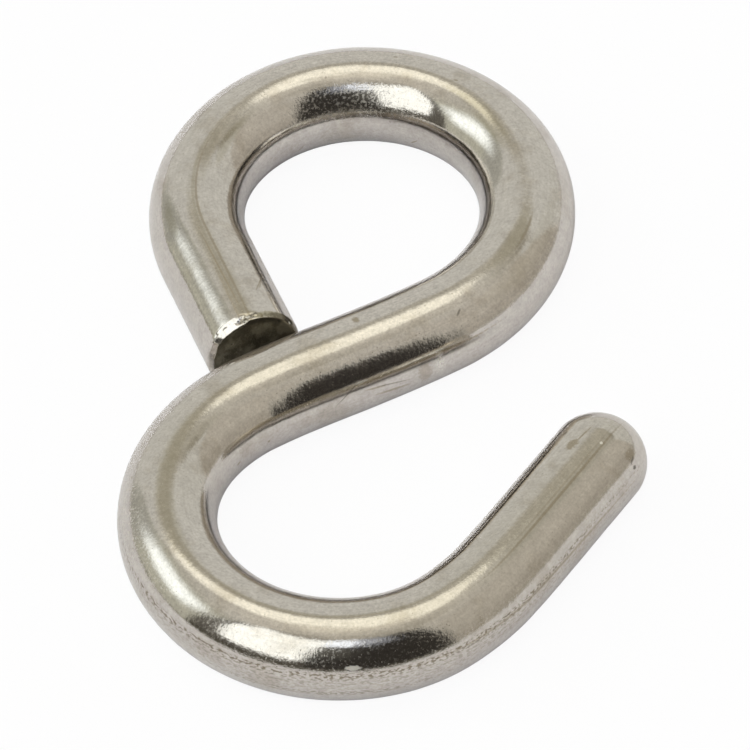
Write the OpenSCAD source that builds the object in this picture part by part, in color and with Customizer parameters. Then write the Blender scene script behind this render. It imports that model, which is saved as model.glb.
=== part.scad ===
// S hook bent from one length of round steel rod. It has a nearly closed eye,
// a straight shank, and an open hook with a domed tip, and it lies flat on its
// side. The eye's end is cut off parallel to the shank and all but touches it.
// Each half is bent in two strokes: the first starts at the shank, and the
// second ends at the leg. Lengths are in millimetres and angles in degrees.

/* [Rod] */
// Diameter of the round rod
rod_d = 8; // [6:0.5:10]
// Step on the radius that the die leaves where the second stroke starts
die_step = 0.02; // [0.01:0.01:0.05]

/* [Shank] */
// Straight length between the two bends
shank_len = 17; // [12:0.1:24]

/* [Eye] */
// Inside radius of the bend from the shank round the crown of the eye
eye_crown_r = 10; // [8:0.1:14]
// Angle of the crown bend
eye_crown_sweep = 157; // [147:1:167]
// Inside radius of the tighter bend that closes the eye
eye_close_r = 9.4; // [7.5:0.1:13]
// Angle of the closing bend
eye_close_sweep = 106; // [88:1:116]
// Gap between the cut end and the shank
eye_gap = 1; // [0.5:0.1:3]
// Width of the broken edge round the cut end
cut_edge = 0.3; // [0.1:0.05:0.6]

/* [Hook] */
// Inside radius of the bend where the hook leaves the shank
hook_heel_r = 9; // [7:0.1:12]
// Angle of the heel bend
hook_heel_sweep = 81; // [70:1:95]
// Inside radius of the wider bend that makes the bowl
hook_bowl_r = 10.2; // [8:0.1:14]
// Angle of the bowl bend
hook_bowl_sweep = 126; // [105:1:136]
// Straight length of the hook's leg, up to the foot of its dome
hook_leg_len = 15; // [8:0.1:25]
// Height of the dome on the tip
tip_h = 3.6; // [2:0.1:4]

/* [Hidden] */
$fn = 96;
steel = [0.68, 0.66, 0.62];
rod_r = rod_d / 2;
end_r = rod_r - die_step;
// How far the second stroke's bend reaches back into the first's, in degrees
lap = 2;

// Centreline radii of the four bends
crown_r = eye_crown_r + rod_r;
close_r = eye_close_r + rod_r;
heel_r = hook_heel_r + rod_r;
bowl_r = hook_bowl_r + rod_r;

// A place on the rod's centreline is [x, y, heading]. Each half of the S is
// walked outwards from the middle of the shank, which heads along +X, and both
// halves turn left, because the hook's half is the one turned half round.
function ahead(place, length) =
    [place.x + length * cos(place.z), place.y + length * sin(place.z), place.z];
function bent(place, r, sweep) =
    [place.x + r * (sin(place.z + sweep) - sin(place.z)),
     place.y - r * (cos(place.z + sweep) - cos(place.z)),
     place.z + sweep];
function bend_centre(place, r) =
    [place.x - r * sin(place.z), place.y + r * cos(place.z)];

// Where each stretch of the rod starts
shank_end = [shank_len / 2, 0, 0];
eye_close_start = bent(shank_end, crown_r, eye_crown_sweep);
eye_leg_start = bent(eye_close_start, close_r, eye_close_sweep);
hook_bowl_start = bent(shank_end, heel_r, hook_heel_sweep);
hook_leg_start = bent(hook_bowl_start, bowl_r, hook_bowl_sweep);
hook_leg_end = ahead(hook_leg_start, hook_leg_len);

// The eye's leg runs down to the plane of its cut, which is parallel to the
// shank and eye_gap away from it
cut_y = rod_r + eye_gap;
cut_slant = 270 - eye_leg_start.z;
eye_leg_len = (eye_leg_start.y - cut_y) / cos(cut_slant);
// The leg is bent this much too long, and then cut
cut_spare = rod_d;

// The dome is a cap of a sphere that passes through the end of the leg
cap_r = (end_r * end_r + tip_h * tip_h) / (2 * tip_h);
cap_back = cap_r - tip_h;
shoulder = asin(cap_back / cap_r);

// The S is turned so that the line through the hook's bowl and the eye's crown
// lies along +Y
eye_hub = bend_centre(shank_end, crown_r);
hook_hub = bend_centre(hook_bowl_start, bowl_r);
lay = 90 - atan2(eye_hub.y + hook_hub.y, eye_hub.x + hook_hub.x);

// How far each half reaches from the middle of the shank in the direction dir,
// an angle in the frame of that half, and from these the middle of the S
function wrap(angle) = angle - 360 * floor(angle / 360);
function along(v, dir) = v.x * cos(dir) + v.y * sin(dir);
function bend_reach(place, r, sweep, dir) =
    wrap(dir - place.z + 90) <= sweep
    ? along(bend_centre(place, r), dir) + r
    : max(along(place, dir), along(bent(place, r, sweep), dir));
function dome_reach(dir) =
    let (lean = abs(wrap(dir - hook_leg_end.z + 180) - 180))
    lean < 90 - shoulder
    ? along(ahead(hook_leg_end, -cap_back), dir) + cap_r
    : along(hook_leg_end, dir) + end_r * abs(sin(lean));
function eye_reach(dir) = max(
    bend_reach(shank_end, crown_r, eye_crown_sweep, dir) + rod_r,
    bend_reach(eye_close_start, close_r, eye_close_sweep, dir) + end_r);
function hook_reach(dir) = max(
    bend_reach(shank_end, heel_r, hook_heel_sweep, dir) + rod_r,
    bend_reach(hook_bowl_start, bowl_r, hook_bowl_sweep, dir) + end_r,
    dome_reach(dir));
function reach(dir) = max(eye_reach(dir - lay), hook_reach(dir - lay + 180));
middle = [(reach(0) - reach(180)) / 2, (reach(90) - reach(270)) / 2];

module at(place) {
    translate([place.x, place.y, 0]) rotate([0, 0, place.z]) children();
}

// A straight stretch that starts at the origin and heads along +X
module straight(r, length) {
    rotate([0, 90, 0]) cylinder(r = r, h = length);
}

// A left bend that starts at the origin, heading along +X
module first_stroke(r, sweep) {
    translate([0, r, 0])
        rotate_extrude(angle = sweep, start = -90)
            translate([r, 0]) circle(r = rod_r);
}

// A left bend that ends at the origin, heading along +X
module second_stroke(r, sweep) {
    translate([0, r, 0])
        rotate_extrude(angle = sweep + lap, start = -90 - sweep - lap)
            translate([r, 0]) circle(r = end_r);
}

// All that lies short of the slanted plane of the cut. It narrows towards the
// plane, so that the leg it keeps has a bevel of cut_edge round its end.
module short_of_cut() {
    height = eye_leg_len + rod_d;
    foot_r = end_r - cut_edge;
    translate([eye_leg_len, 0, 0])
        rotate([0, -90, cut_slant])
            cylinder(r1 = foot_r, r2 = foot_r + height, h = height);
}

module cut_leg() {
    intersection() {
        straight(end_r, eye_leg_len + cut_spare);
        short_of_cut();
    }
}

module dome() {
    rotate([0, 90, 0])
        rotate_extrude()
            intersection() {
                translate([0, -cap_back]) circle(r = cap_r);
                square([end_r, tip_h]);
            }
}

module eye() {
    at(shank_end) first_stroke(crown_r, eye_crown_sweep);
    at(eye_leg_start) {
        second_stroke(close_r, eye_close_sweep);
        cut_leg();
    }
}

module hook() {
    at(shank_end) first_stroke(heel_r, hook_heel_sweep);
    at(hook_leg_start) {
        second_stroke(bowl_r, hook_bowl_sweep);
        straight(end_r, hook_leg_len);
        translate([hook_leg_len, 0, 0]) dome();
    }
}

module s_hook() {
    color(steel)
        translate([-middle.x, -middle.y, rod_r])
            rotate([0, 0, lay]) {
                translate([-shank_len / 2, 0, 0]) straight(rod_r, shank_len);
                eye();
                rotate([0, 0, 180]) hook();
            }
}

s_hook();
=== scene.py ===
"""S hook bent from round steel rod, lying flat: detailed rod, worn steel, studio.

Everything is in metres, in the frame of the CAD part. Angles are in degrees.
"""

import math

import bpy
import numpy as np
from mathutils import Matrix, Vector, noise


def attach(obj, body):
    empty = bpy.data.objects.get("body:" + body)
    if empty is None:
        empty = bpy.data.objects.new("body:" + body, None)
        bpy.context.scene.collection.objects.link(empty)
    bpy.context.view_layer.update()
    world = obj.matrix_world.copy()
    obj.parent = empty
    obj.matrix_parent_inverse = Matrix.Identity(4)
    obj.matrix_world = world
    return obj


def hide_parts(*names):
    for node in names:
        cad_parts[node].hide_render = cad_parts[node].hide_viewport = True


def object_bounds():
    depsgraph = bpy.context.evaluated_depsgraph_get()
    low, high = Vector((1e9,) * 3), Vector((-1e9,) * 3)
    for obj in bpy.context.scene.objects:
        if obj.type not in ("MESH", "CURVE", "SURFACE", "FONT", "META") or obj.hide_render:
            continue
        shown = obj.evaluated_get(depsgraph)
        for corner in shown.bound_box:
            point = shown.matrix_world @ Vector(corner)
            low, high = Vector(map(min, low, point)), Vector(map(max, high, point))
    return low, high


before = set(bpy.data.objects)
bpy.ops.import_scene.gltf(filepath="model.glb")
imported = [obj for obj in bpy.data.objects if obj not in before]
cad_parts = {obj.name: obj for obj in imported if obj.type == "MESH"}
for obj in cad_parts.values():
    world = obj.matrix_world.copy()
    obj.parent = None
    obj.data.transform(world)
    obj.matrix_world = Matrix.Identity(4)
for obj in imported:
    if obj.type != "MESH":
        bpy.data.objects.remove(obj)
cad_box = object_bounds()

MM = 0.001

# Rod and bends, as the part's own values give them: centreline radius and sweep
ROD_R = 4.0 * MM
END_R = 3.98 * MM
SHANK_LEN = 17.0 * MM
CROWN_R, CROWN_SWEEP = 14.0 * MM, 157.0
CLOSE_R, CLOSE_SWEEP = 13.4 * MM, 106.0
HEEL_R, HEEL_SWEEP = 13.0 * MM, 81.0
BOWL_R, BOWL_SWEEP = 14.2 * MM, 126.0
HOOK_LEG = 15.0 * MM
TIP_H = 3.6 * MM
EYE_GAP = 1.0 * MM
CAP_R = (END_R ** 2 + TIP_H ** 2) / (2 * TIP_H)

# Mesh density
AROUND = 120
RING_STEP = 0.26 * MM
END_STEP = 0.066 * MM
END_LENGTH = 1.98 * MM
DOME_RINGS = 24
FACE_RINGS = 22
BOX_SAMPLES = 400

# Lengths that count as nothing, as one point, as near, and as beyond everything
ZERO = 1e-9
TOUCHING = 1e-7
CLOSE = 1e-6
FAR_OFF = 9.0

# Camera: where it looks, from which side, how far away and with what lens
LOOK_AT = Vector((-0.9648, -1.7299, 4.0)) * MM
CAMERA_AZIMUTH = 4.596
CAMERA_ELEVATION = 48.87
CAMERA_ROLL = 3.79
CAMERA_DISTANCE = 431.2 * MM
CAMERA_LENS = 256.2
SENSOR = 36.0
CAMERA_CLIP = (0.01, 20.0)


# ---- small tools

def heading(angle):
    """Level unit vector at an angle from +X."""
    return Vector((math.cos(math.radians(angle)), math.sin(math.radians(angle)), 0.0))


def turned_about_z(vector, angle):
    return Matrix.Rotation(math.radians(angle), 3, "Z") @ vector


def smooth(low, high, value):
    """0 at low, 1 at high, and a smooth ramp between them, for numbers or arrays."""
    t = np.clip((np.asarray(value, float) - low) / (high - low), 0.0, 1.0)
    return t * t * (3.0 - 2.0 * t)


def ripples(x, y, z, layer):
    """Smooth noise at places in millimetres, the same on every run. A layer is its
    height, then its rates and its shifts along the three axes."""
    height, rates, shifts = layer
    axes = [a * rate + shift for a, rate, shift in zip((x, y, z), rates, shifts)]
    return height * np.array([noise.noise(Vector(p)) for p in zip(*axes)])


def unit_rows(rows):
    return rows / np.maximum(np.linalg.norm(rows, axis=1), ZERO)[:, None]


# ---- the centreline

class Stretch:
    """A straight or a level bend of the rod: turn is 1 to the left and -1 to the right,
    and thick is the rod's radius."""

    def __init__(self, start, angle, length, radius=0.0, turn=0, thick=ROD_R):
        self.start = start
        self.angle = angle
        self.length = length
        self.radius = radius
        self.turn = turn
        self.thick = thick
        self.hub = start + heading(angle + 90.0 * turn) * radius
        self.sweep = math.degrees(length / radius) if turn else 0.0

    def place(self, along):
        """Centre and heading angle at a distance from the stretch's start."""
        if not self.turn:
            return self.start + heading(self.angle) * along, self.angle
        swept = self.turn * math.degrees(along / self.radius)
        return self.hub + turned_about_z(self.start - self.hub, swept), self.angle + swept

    def end(self):
        return self.place(self.length)

    def swung(self, spin, shift):
        """The same stretch, turned about the origin and then shifted."""
        return Stretch(turned_about_z(self.start, spin) + shift, self.angle + spin,
                       self.length, self.radius, self.turn, self.thick)

    def backwards(self):
        """The same stretch, walked from its other end."""
        point, angle = self.end()
        return Stretch(point, angle + 180.0, self.length, self.radius,
                       -self.turn, self.thick)


def bend(start, angle, radius, sweep, thick):
    return Stretch(start, angle, radius * math.radians(sweep), radius, 1, thick)


def half_of_s(first, second, leg):
    """Half the shank, two bends and a leg, walked outwards along +X at first. Without a
    length, the leg ends beside the shank, the eye's gap away from it."""
    shank = Stretch(Vector((0.0, 0.0, 0.0)), 0.0, SHANK_LEN / 2)
    one = bend(*shank.end(), *first, ROD_R)
    two = bend(*one.end(), *second, END_R)
    point, angle = two.end()
    if leg is None:
        leg = (point.y - ROD_R - EYE_GAP) / math.cos(math.radians(270.0 - angle))
    return [shank, one, two, Stretch(point, angle, leg, thick=END_R)]


def rod_path(shift):
    """The whole rod, from the cut end of the eye to the foot of the tip's dome."""
    eye = half_of_s((CROWN_R, CROWN_SWEEP), (CLOSE_R, CLOSE_SWEEP), None)
    hook = half_of_s((HEEL_R, HEEL_SWEEP), (BOWL_R, BOWL_SWEEP), HOOK_LEG)
    axis = eye[1].hub + hook[2].hub
    lay = 90.0 - math.degrees(math.atan2(axis.y, axis.x))
    eye = [s.swung(lay, shift) for s in eye]
    hook = [s.swung(lay + 180.0, shift) for s in hook]
    return [s.backwards() for s in reversed(eye)] + hook


def path_middle(path):
    """Middle of the box round the centreline's rod, as the CAD box has it."""
    low, high = Vector([FAR_OFF] * 3), Vector([-FAR_OFF] * 3)
    for s in path:
        for i in range(BOX_SAMPLES + 1):
            centre, angle = s.place(s.length * i / BOX_SAMPLES)
            for axis in (0, 1):
                reach = s.thick * abs((heading(angle + 90.0))[axis])
                low[axis] = min(low[axis], centre[axis] - reach)
                high[axis] = max(high[axis], centre[axis] + reach)
    cap = path[-1].place(path[-1].length - CAP_R + TIP_H)[0]
    for axis in (0, 1):
        high[axis] = max(high[axis], cap[axis] + CAP_R)
    return (low + high) / 2


def placed_path():
    """The path with its middle at the middle of the CAD box, at half its height."""
    middle = path_middle(rod_path(Vector((0.0, 0.0, 0.0))))
    box_middle = (cad_box[0] + cad_box[1]) / 2
    shift = Vector((box_middle.x - middle.x, box_middle.y - middle.y, ROD_R))
    return rod_path(shift)


PATH = placed_path()
SHANK, LEG = PATH[4], PATH[7]
STARTS = [sum(s.length for s in PATH[:i]) for i in range(len(PATH) + 1)]
ROD_LENGTH = STARTS[-1]
CUT_CENTRE = PATH[0].start
LEG_ANGLE = PATH[0].angle
CUT_SLANT = PATH[3].angle - 90.0 - LEG_ANGLE  # of the shank's line, from square to the leg
CAP_CENTRE = PATH[-1].place(HOOK_LEG - CAP_R + TIP_H)[0]


# ---- the rod mesh

def select_nothing():
    bpy.ops.object.select_all(action="DESELECT")


def steps_along(stretch):
    return round(stretch.length / RING_STEP)


def run_straight(stretch, steps):
    """Carries the selected ring along a straight stretch."""
    step = heading(stretch.angle) * (stretch.length / steps)
    bpy.ops.mesh.extrude_repeat(steps=steps, offset=step)


def run_bend(stretch, steps):
    """Carries the selected ring round a level bend."""
    bpy.ops.mesh.spin(
        steps=steps, angle=-math.radians(stretch.sweep) * stretch.turn,
        center=stretch.hub, axis=(0.0, 0.0, 1.0))


def grow_ring(offset, scale, centre):
    """Extrudes the selected ring, moves it and scales it about its new centre."""
    bpy.ops.mesh.extrude_region_move(TRANSFORM_OT_translate={"value": offset})
    bpy.ops.transform.resize(value=(scale, scale, scale), center_override=centre)


def close_dome():
    """Rings of the domed tip, up to its pole."""
    direction = heading(PATH[-1].angle)
    tilt = math.acos(END_R / CAP_R)
    size = END_R
    ahead = HOOK_LEG
    for i in range(1, DOME_RINGS + 1):
        lean = tilt + (math.pi / 2 - tilt) * i / (DOME_RINGS + 0.5)
        new_size = CAP_R * math.cos(lean)
        new_ahead = HOOK_LEG - CAP_R + TIP_H + CAP_R * math.sin(lean)
        centre = PATH[-1].start + direction * new_ahead
        grow_ring(direction * (new_ahead - ahead), new_size / size, centre)
        size = new_size
        ahead = new_ahead
    bpy.ops.mesh.merge(type="CENTER")


def close_cut():
    """Rings across the face of the cut, up to its middle."""
    size = END_R
    for i in range(1, FACE_RINGS + 1):
        new_size = END_R * (1.0 - i / (FACE_RINGS + 0.5))
        grow_ring((0.0, 0.0, 0.0), new_size / size, CUT_CENTRE)
        size = new_size
    bpy.ops.mesh.merge(type="CENTER")


def select_first_ring(obj):
    """Selects the open ring at the cut end, where the rod was started."""
    bpy.ops.object.mode_set(mode="OBJECT")
    along_leg = heading(LEG_ANGLE)
    for vertex in obj.data.vertices:
        vertex.select = abs((vertex.co - CUT_CENTRE).dot(along_leg)) < CLOSE
        vertex.select &= (vertex.co - CUT_CENTRE).length < 2 * ROD_R
    bpy.ops.object.mode_set(mode="EDIT")


def bend_rod():
    """One ring, carried from the cut end of the eye to the tip of the hook."""
    select_nothing()
    bpy.ops.mesh.primitive_circle_add(
        vertices=AROUND, radius=END_R, fill_type="NOTHING", location=CUT_CENTRE,
        rotation=(math.pi / 2, 0.0, math.radians(LEG_ANGLE + 90.0)))
    rod = bpy.context.object
    rod.name = "s_hook_body"
    bpy.ops.object.transform_apply(location=True, rotation=True, scale=True)
    bpy.ops.object.mode_set(mode="EDIT")
    bpy.ops.mesh.select_mode(type="VERT")
    bpy.ops.mesh.select_all(action="SELECT")
    end_steps = round(END_LENGTH / END_STEP)
    leg = PATH[0]
    near = Stretch(leg.start, leg.angle, END_LENGTH)
    far = Stretch(near.end()[0], leg.angle, leg.length - END_LENGTH)
    run_straight(near, end_steps)
    run_straight(far, steps_along(far))
    for stretch in PATH[1:]:
        carry = run_bend if stretch.turn else run_straight
        carry(stretch, steps_along(stretch))
    close_dome()
    select_first_ring(rod)
    close_cut()
    bpy.ops.mesh.select_all(action="SELECT")
    bpy.ops.mesh.remove_doubles(threshold=TOUCHING)
    bpy.ops.mesh.normals_make_consistent(inside=False)
    bpy.ops.object.mode_set(mode="OBJECT")
    return rod


# How a point is matched to its stretch: weights of being past its end and off its
# thickness, what is still on it, and from where, in radians, a bend's places run.
END_WEIGHT = 50.0
THICK_WEIGHT = 0.01
JUST_OVER = 1.001
JUST_UNDER = 0.999
BEFORE_BEND = -0.5


def held_to(stretch, level):
    """For level places: the distance along a stretch, that distance kept within it,
    and the centre and the heading there."""
    start = np.array(stretch.start)[:2]
    if not stretch.turn:
        way = np.array(heading(stretch.angle))[:2]
        run = (level - start) @ way
        held = np.clip(run, 0.0, stretch.length)
        angle = np.full(len(level), math.radians(stretch.angle))
        return run, held, start + held[:, None] * way, angle
    hub = np.array(stretch.hub)[:2]
    arm, first = level - hub, start - hub
    cross = first[0] * arm[:, 1] - first[1] * arm[:, 0]
    swept = stretch.turn * np.arctan2(cross, arm @ first)
    swept = np.where(swept < BEFORE_BEND, swept + 2 * math.pi, swept)
    run = swept * stretch.radius
    held = np.clip(run, 0.0, stretch.length)
    turn = stretch.turn * held / stretch.radius
    base = math.atan2(first[1], first[0])
    spoke = np.stack([np.cos(base + turn), np.sin(base + turn)], 1)
    return run, held, hub + stretch.radius * spoke, math.radians(stretch.angle) + turn


def skin_places(co):
    """For points on the skin: distance along the rod, angle round it (0 on the right
    of the way the rod runs, a quarter turn on top), distance from the centreline and
    the outward direction."""
    count = len(co)
    best = np.full(count, FAR_OFF)
    along, around, reach = np.zeros(count), np.zeros(count), np.zeros(count)
    outward = np.zeros((count, 3))
    height = co[:, 2] - ROD_R
    for index, s in enumerate(PATH):
        run, held, centre, angle = held_to(s, co[:, :2])
        right = np.stack([np.sin(angle), -np.cos(angle)], 1)
        aside = ((co[:, :2] - centre) * right).sum(1)
        apart = np.hypot(aside, height)
        inside = apart < s.thick * JUST_OVER
        off = np.abs(run - held) * END_WEIGHT + np.abs(apart - s.thick) * THICK_WEIGHT
        if s is PATH[0]:
            off = np.where((np.abs(run) < TOUCHING) & inside, 0.0, off)
            held = run
        if s is PATH[-1]:
            off = np.where((run > s.length) & inside, 0.0, off)
            held = np.maximum(run, 0.0)
        take = off < best - ZERO
        best[take] = off[take]
        along[take] = (STARTS[index] + held)[take]
        around[take] = np.arctan2(height, aside)[take]
        reach[take] = apart[take]
        outward[take, :2] = (right * aside[:, None])[take]
    outward[:, 2] = height
    return along, around, reach, unit_rows(outward)


# ---- wear and the sheared end

# The lip rolled over by the shears: angle round the rod, how far back along it the
# roll begins, and how deep the skin has dropped at the cut. Lengths in millimetres.
LIP = ((0.0, 0.4, 0.22), (18.0, 0.48, 0.27), (34.0, 0.52, 0.24), (58.0, 0.54, 0.14),
       (74.0, 0.5, 0.1), (82.0, 0.82, 0.12), (98.0, 0.9, 0.14), (106.0, 0.5, 0.16),
       (125.0, 0.34, 0.24), (141.0, 0.36, 0.36), (152.0, 0.36, 0.5), (168.0, 0.42, 0.6),
       (185.0, 0.4, 0.54), (205.0, 0.34, 0.36), (225.0, 0.3, 0.3), (330.0, 0.28, 0.2),
       (360.0, 0.34, 0.16))

# The flat that the upper blade crushed on the lip: where it faces, round the rod, how
# deep it is at the cut, and how far back it reaches at its middle.
FLAT_FACES = 117.5
FLAT_DEPTH = 0.42
FLAT_REACH = 0.92
FLAT_ROUND = 0.8
FLAT_SIDES = (17.0, 28.0)

# How the sheared face lies: turned a little from the shank's line, and set back.
FACE_SKEW = 5.5
FACE_BACK = 0.10 * MM

# How fast the lip's roll deepens, and the least that it reaches back, in millimetres.
LIP_CURL = 1.25
LIP_LEAST = 0.06

# Dents torn in the lip: angle, distance from the cut, size, depth; and the shares of
# their size where their floor and their edge end.
NICK_SHARES = (0.3, 1.5)
LIP_NICKS = ((87.0, 0.4, 0.15, 0.12), (93.0, 0.34, 0.13, 0.11), (98.5, 0.52, 0.12, 0.1),
             (104.5, 0.36, 0.13, 0.11), (111.0, 0.55, 0.08, 0.05), (118.0, 0.3, 0.08, 0.06),
             (127.0, 0.22, 0.08, 0.06), (140.0, 0.14, 0.22, 0.15), (64.0, 0.14, 0.08, 0.05),
             (52.0, 0.18, 0.07, 0.05), (31.0, 0.2, 0.1, 0.06))

# The shank's soft bow, like a stretched S: how far its way turns to the right, in
# degrees, at distances along the rod in millimetres.
BOW_TURNS = ((68.0, 0.0), (70.0, -0.3), (73.0, -1.5), (75.0, -1.8), (76.0, -1.1),
             (77.0, -0.1), (78.0, 0.4), (80.0, 1.1), (82.0, 1.85), (84.0, 2.35),
             (86.0, 2.25), (88.0, 1.5), (89.3, -0.4), (90.3, -1.6), (91.5, -2.1),
             (93.0, -1.9), (96.0, -0.4), (98.0, 0.0))

BOW_STEPS = 300

# The hook leg sways inwards a little where the bowl runs out into it.
SWAY = 0.20 * MM
SWAY_LENGTH = 3.7 * MM
SWAY_MIDDLE = 138.0 * MM


# Ripples in the steel: height, rates and shifts along three axes, in millimetres.
SKIN_WAVES = (0.009, (1 / 4.2, 1 / 3.2, 1 / 3.2), (0.0, 0.0, 0.0))
SKIN_DENTS = (0.004, (1 / 1.1, 1.0, 1.0), (40.0, 0.0, 0.0))
SKIN_SUNK = 0.012
LIP_WOBBLE = (1.0, (1.1, 1.1, 0.0), (0.0, 0.0, 3.7))
LIP_RAG = (1.0, (3.3, 3.3, 0.0), (0.0, 0.0, 9.2))
FLAT_RAG = (0.035, (2.6, 2.6, 2.2), (0.0, 0.0, 5.0))
FLAT_GRIT = (0.014, (6.0, 6.0, 5.0), (0.0, 0.0, 0.0))
FACE_LUMPS = (0.035, (1 / 1.3, 1 / 1.3, 1 / 1.3), (0.0, 0.0, 0.0))
FACE_TEARS = (0.012, (2.0, 2.0, 1 / 0.22), (0.0, 7.0, 0.0))

# Shares of the wobble and the rag in the lip's reach and in its depth.
REACH_SHARES = (0.12, 0.20)
DEPTH_SHARES = (0.15, 0.10)

# How far the face's inside is set back, and where its level edge lies.
FACE_SUNK = 0.03 * MM
FACE_EDGE = (0.80, 0.97)


def section(around):
    """Place across the rod at an angle round it: to the right and up, millimetres."""
    return np.cos(around) * ROD_R / MM, np.sin(around) * ROD_R / MM


def lip_shape(around):
    """How far the rolled lip reaches back from the cut and how deep it drops there."""
    angles, reaches, depths = zip(*LIP)
    x, y = section(around)
    none = np.zeros(len(x))
    wobble = ripples(x, y, none, LIP_WOBBLE)
    rag = ripples(x, y, none, LIP_RAG)
    shaped = []
    for values, shares in ((reaches, REACH_SHARES), (depths, DEPTH_SHARES)):
        plain = np.interp(np.degrees(around) % 360.0, angles, values)
        shaped.append(plain * (1.0 + shares[0] * wobble + shares[1] * rag))
    return np.maximum(shaped[0], LIP_LEAST) * MM, shaped[1] * MM


def crushed_flat(along, around):
    """How deep the crushed flat lies below the round of the rod."""
    s = along / MM
    off = around - math.radians(FLAT_FACES)
    x, y = section(around)
    rag = ripples(x, y, s, FLAT_RAG) + ripples(x, y, s, FLAT_GRIT)
    inside = 1.0 - smooth(*FLAT_SIDES, np.abs(np.degrees(off)))
    flat = FLAT_DEPTH * (1.0 - s / FLAT_REACH) * inside - FLAT_ROUND * (1.0 - np.cos(off))
    return np.maximum(flat + rag, 0.0) * MM


def lip_nicks(along, around):
    """Small dents torn in the lip."""
    turn = np.degrees(around) % 360.0
    drop = np.zeros(len(along))
    floor, edge = NICK_SHARES
    for at, back, size, depth in LIP_NICKS:
        aside = np.abs((turn - at + 180.0) % 360.0 - 180.0) * math.radians(1.0) * ROD_R / MM
        far = np.hypot(aside, along / MM - back)
        drop += depth * (1.0 - smooth(size * floor, size * edge, far))
    return drop * MM


def skin_relief(along, around):
    """Outward moves of the rod's skin: long waves and shallow dents."""
    x, y = section(around)
    waves = ripples(along / MM, x, y, SKIN_WAVES)
    dents = ripples(along / MM, x, y, SKIN_DENTS)
    return (waves + dents - SKIN_SUNK) * MM


def shank_bow(along):
    """Moves to the right of the shank's way, from its turns."""
    places, turns = zip(*BOW_TURNS)
    grid = np.linspace(places[0], places[-1], BOW_STEPS + 1)
    slope = np.radians(np.interp(grid, places, turns))
    moves = np.cumsum(slope) * (grid[1] - grid[0])
    moves -= moves[-1] * np.linspace(0.0, 1.0, len(grid))
    return np.interp(along / MM, grid, moves, 0.0, 0.0) * MM


def leg_sway(along):
    """Moves to the left of the hook leg's way, where the bowl runs out."""
    far = (along - SWAY_MIDDLE) / SWAY_LENGTH
    return SWAY * np.exp(-far * far)


def torn_face(co):
    """How deep the sheared face is torn: lumps and shallow tears."""
    places = (co / MM).T
    torn = ripples(*places, FACE_LUMPS) + ripples(*places, FACE_TEARS)
    return np.abs(torn * MM) + FACE_SUNK


def relief_moves(co, along, around, outward, on_face):
    """Moves out from the centreline, or out from the middle of the tip's cap."""
    on_dome = along > ROD_LENGTH + TOUCHING
    from_cap = unit_rows(co - np.array(CAP_CENTRE))
    way = np.where(on_dome[:, None], from_cap, outward)
    return way * (skin_relief(along, around) * ~on_face)[:, None]


def lip_moves(along, around, reach, outward, on_face):
    """Inward moves at the cut: the rolled lip, its crushed flat and its dents."""
    width, depth = lip_shape(around)
    back = np.clip(1.0 - along / width, 0.0, 1.0)
    drop = np.maximum(depth * back ** LIP_CURL, crushed_flat(along, around))
    drop += lip_nicks(along, around)
    share = np.where(on_face, reach / END_R, 1.0)
    return -outward * (np.where(along < END_LENGTH, drop, 0.0) * share)[:, None]


def face_moves(co, moved, along, reach, on_face):
    """Moves along the eye's leg at the cut: how the face lies and how it is torn."""
    aside = (moved - np.array(CUT_CENTRE)) @ np.array(heading(LEG_ANGLE - 90.0))
    skew = math.tan(math.radians(FACE_SKEW)) - math.tan(math.radians(CUT_SLANT))
    slant = (aside * skew + FACE_BACK) * (1.0 - along / END_LENGTH)
    inner = 1.0 - smooth(*FACE_EDGE, reach / END_R)
    push = np.where(along < END_LENGTH, slant, 0.0)
    push += np.where(on_face, torn_face(co) * inner, 0.0)
    return np.array(heading(LEG_ANGLE)) * push[:, None]


def wear_the_rod(rod):
    """Moves the mesh's points: relief, bow and sway, and the sheared end."""
    mesh = rod.data
    co = np.zeros(len(mesh.vertices) * 3)
    mesh.vertices.foreach_get("co", co)
    co = co.reshape(-1, 3)
    along, around, reach, outward = skin_places(co)
    on_face = (along < CLOSE) & (reach < END_R * JUST_UNDER)
    moved = co + relief_moves(co, along, around, outward, on_face)
    moved += np.array(heading(SHANK.angle - 90.0)) * shank_bow(along)[:, None]
    moved += np.array(heading(LEG.angle + 90.0)) * leg_sway(along)[:, None]
    moved += lip_moves(along, around, reach, outward, on_face)
    moved += face_moves(co, moved, along, reach, on_face)
    mesh.vertices.foreach_set("co", moved.reshape(-1))
    mesh.update()
    return along, around, on_face


def corner_vertices(mesh):
    """The vertex at each corner of the mesh's polygons."""
    corners = np.zeros(len(mesh.loops), int)
    mesh.loops.foreach_get("vertex_index", corners)
    return corners


def unroll(rod, along, around):
    """UV map in metres: u runs along the rod, v round it from the underside."""
    mesh = rod.data
    layer = mesh.uv_layers.new(name="rod")
    corners = corner_vertices(mesh)
    sizes = np.zeros(len(mesh.polygons), int)
    mesh.polygons.foreach_get("loop_total", sizes)
    polygon = np.repeat(np.arange(len(sizes)), sizes)
    turn = ((around + math.pi / 2) % (2 * math.pi))[corners]
    high = np.zeros(len(sizes))
    np.maximum.at(high, polygon, turn)
    turn = np.where(high[polygon] - turn > math.pi, turn + 2 * math.pi, turn)
    uv = np.stack([along[corners], turn * ROD_R], 1)
    layer.data.foreach_set("uv", uv.reshape(-1))


# ---- shader helpers

def feed(tree, target, value):
    """Gives an input a value, or links an output to it."""
    if isinstance(value, bpy.types.NodeSocket):
        tree.links.new(value, target)
    else:
        target.default_value = value


def add(tree, kind, inputs=None, **settings):
    """A node with its settings, and its inputs given as values or as outputs."""
    node = tree.nodes.new(kind)
    for name, value in settings.items():
        setattr(node, name, value)
    for name, value in (inputs or {}).items():
        feed(tree, node.inputs[name], value)
    return node


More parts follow.
